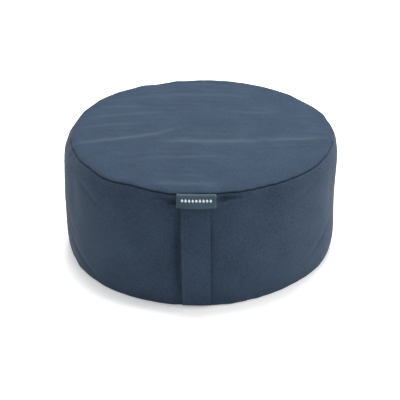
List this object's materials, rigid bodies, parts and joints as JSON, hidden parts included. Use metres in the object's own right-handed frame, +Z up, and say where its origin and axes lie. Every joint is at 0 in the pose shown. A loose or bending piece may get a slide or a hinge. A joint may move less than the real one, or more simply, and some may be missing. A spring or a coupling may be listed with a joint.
{
  "type": "floor cushion",
  "caption": "Round, firm floor cushion with a zipped canvas cover, a crowned top, a sewn carry handle and an inner cushion filled with hulls.",
  "frame": {"origin": "middle of the flat base, on the floor", "axes": "+Z up through the cushion, -Y towards the side with the handle and label, +Y towards the zip, +X to the right as seen from the handle side"},
  "size_m": [0.392, 0.4017, 0.179],
  "materials": {
    "canvas": "matt cotton canvas, slate navy",
    "handle_canvas": "matt cotton canvas, folded and edge stitched",
    "label_weave": "woven label, teal navy with a paler motif",
    "zip_tape": "woven polyester tape",
    "zip_coil": "nylon coil",
    "zip_metal": "satin nickel plate",
    "satin": "white satin ribbon",
    "muslin": "unbleached cotton",
    "hulls": "loose dry buckwheat hulls"
  },
  "bodies": {
    "cushion": {"cover_top_panel": "canvas", "cover_bottom_panel": "canvas", "cover_front_band": "canvas", "cover_back_strip_upper": "canvas", "cover_back_strip_lower": "canvas", "handle_upper_end": "handle_canvas", "handle_lower_end": "handle_canvas", "care_label": "satin", "cover_zip_tape_upper": "zip_tape", "cover_zip_tape_lower": "zip_tape", "cover_zip_coil_upper": "zip_coil", "cover_zip_coil_lower": "zip_coil", "cover_zip_stop_closed": "zip_metal", "cover_zip_stop_open": "zip_metal", "liner_top_panel": "muslin", "liner_bottom_panel": "muslin", "liner_side_band": "muslin", "liner_zip_tape_upper": "zip_tape", "liner_zip_tape_lower": "zip_tape", "liner_zip_coil_upper": "zip_coil", "liner_zip_coil_lower": "zip_coil", "liner_zip_stop_closed": "zip_metal", "liner_zip_stop_open": "zip_metal", "hull_fill": "hulls"},
    "cover_slider": {"cover_zip_slider": "zip_metal"},
    "cover_pull": {"cover_zip_pull": "zip_metal"},
    "liner_slider": {"liner_zip_slider": "zip_metal", "liner_zip_pull": "zip_metal"},
    "handle": {"handle_grip": "handle_canvas"},
    "label": {"woven_label": "label_weave"}
  },
  "joints": [
    {"name": "cover_zip_slide", "type": "hinge", "parent": "cushion", "child": "cover_slider", "pos_m": [0, 0, 0.085], "axis": [0, 0, -1], "range_deg": [0, 139]},
    {"name": "cover_pull_swing", "type": "hinge", "parent": "cover_slider", "child": "cover_pull", "pos_m": [-0.18602, 0.06955, 0.085], "axis": [0, 0, 1], "range_deg": [0, 165]},
    {"name": "liner_zip_slide", "type": "hinge", "parent": "cushion", "child": "liner_slider", "pos_m": [0, 0, 0.126], "axis": [0, 0, -1], "range_deg": [0, 83]},
    {"name": "handle_lift", "type": "slide", "parent": "cushion", "child": "handle", "axis": [0, -1, 0], "range_m": [0, 0.018], "stiffness_N_per_m": 20},
    {"name": "label_flap", "type": "hinge", "parent": "cushion", "child": "label", "pos_m": [0, -0.1921, 0.1704], "axis": [-1, 0, 0], "range_deg": [0, 130]}
  ]
}
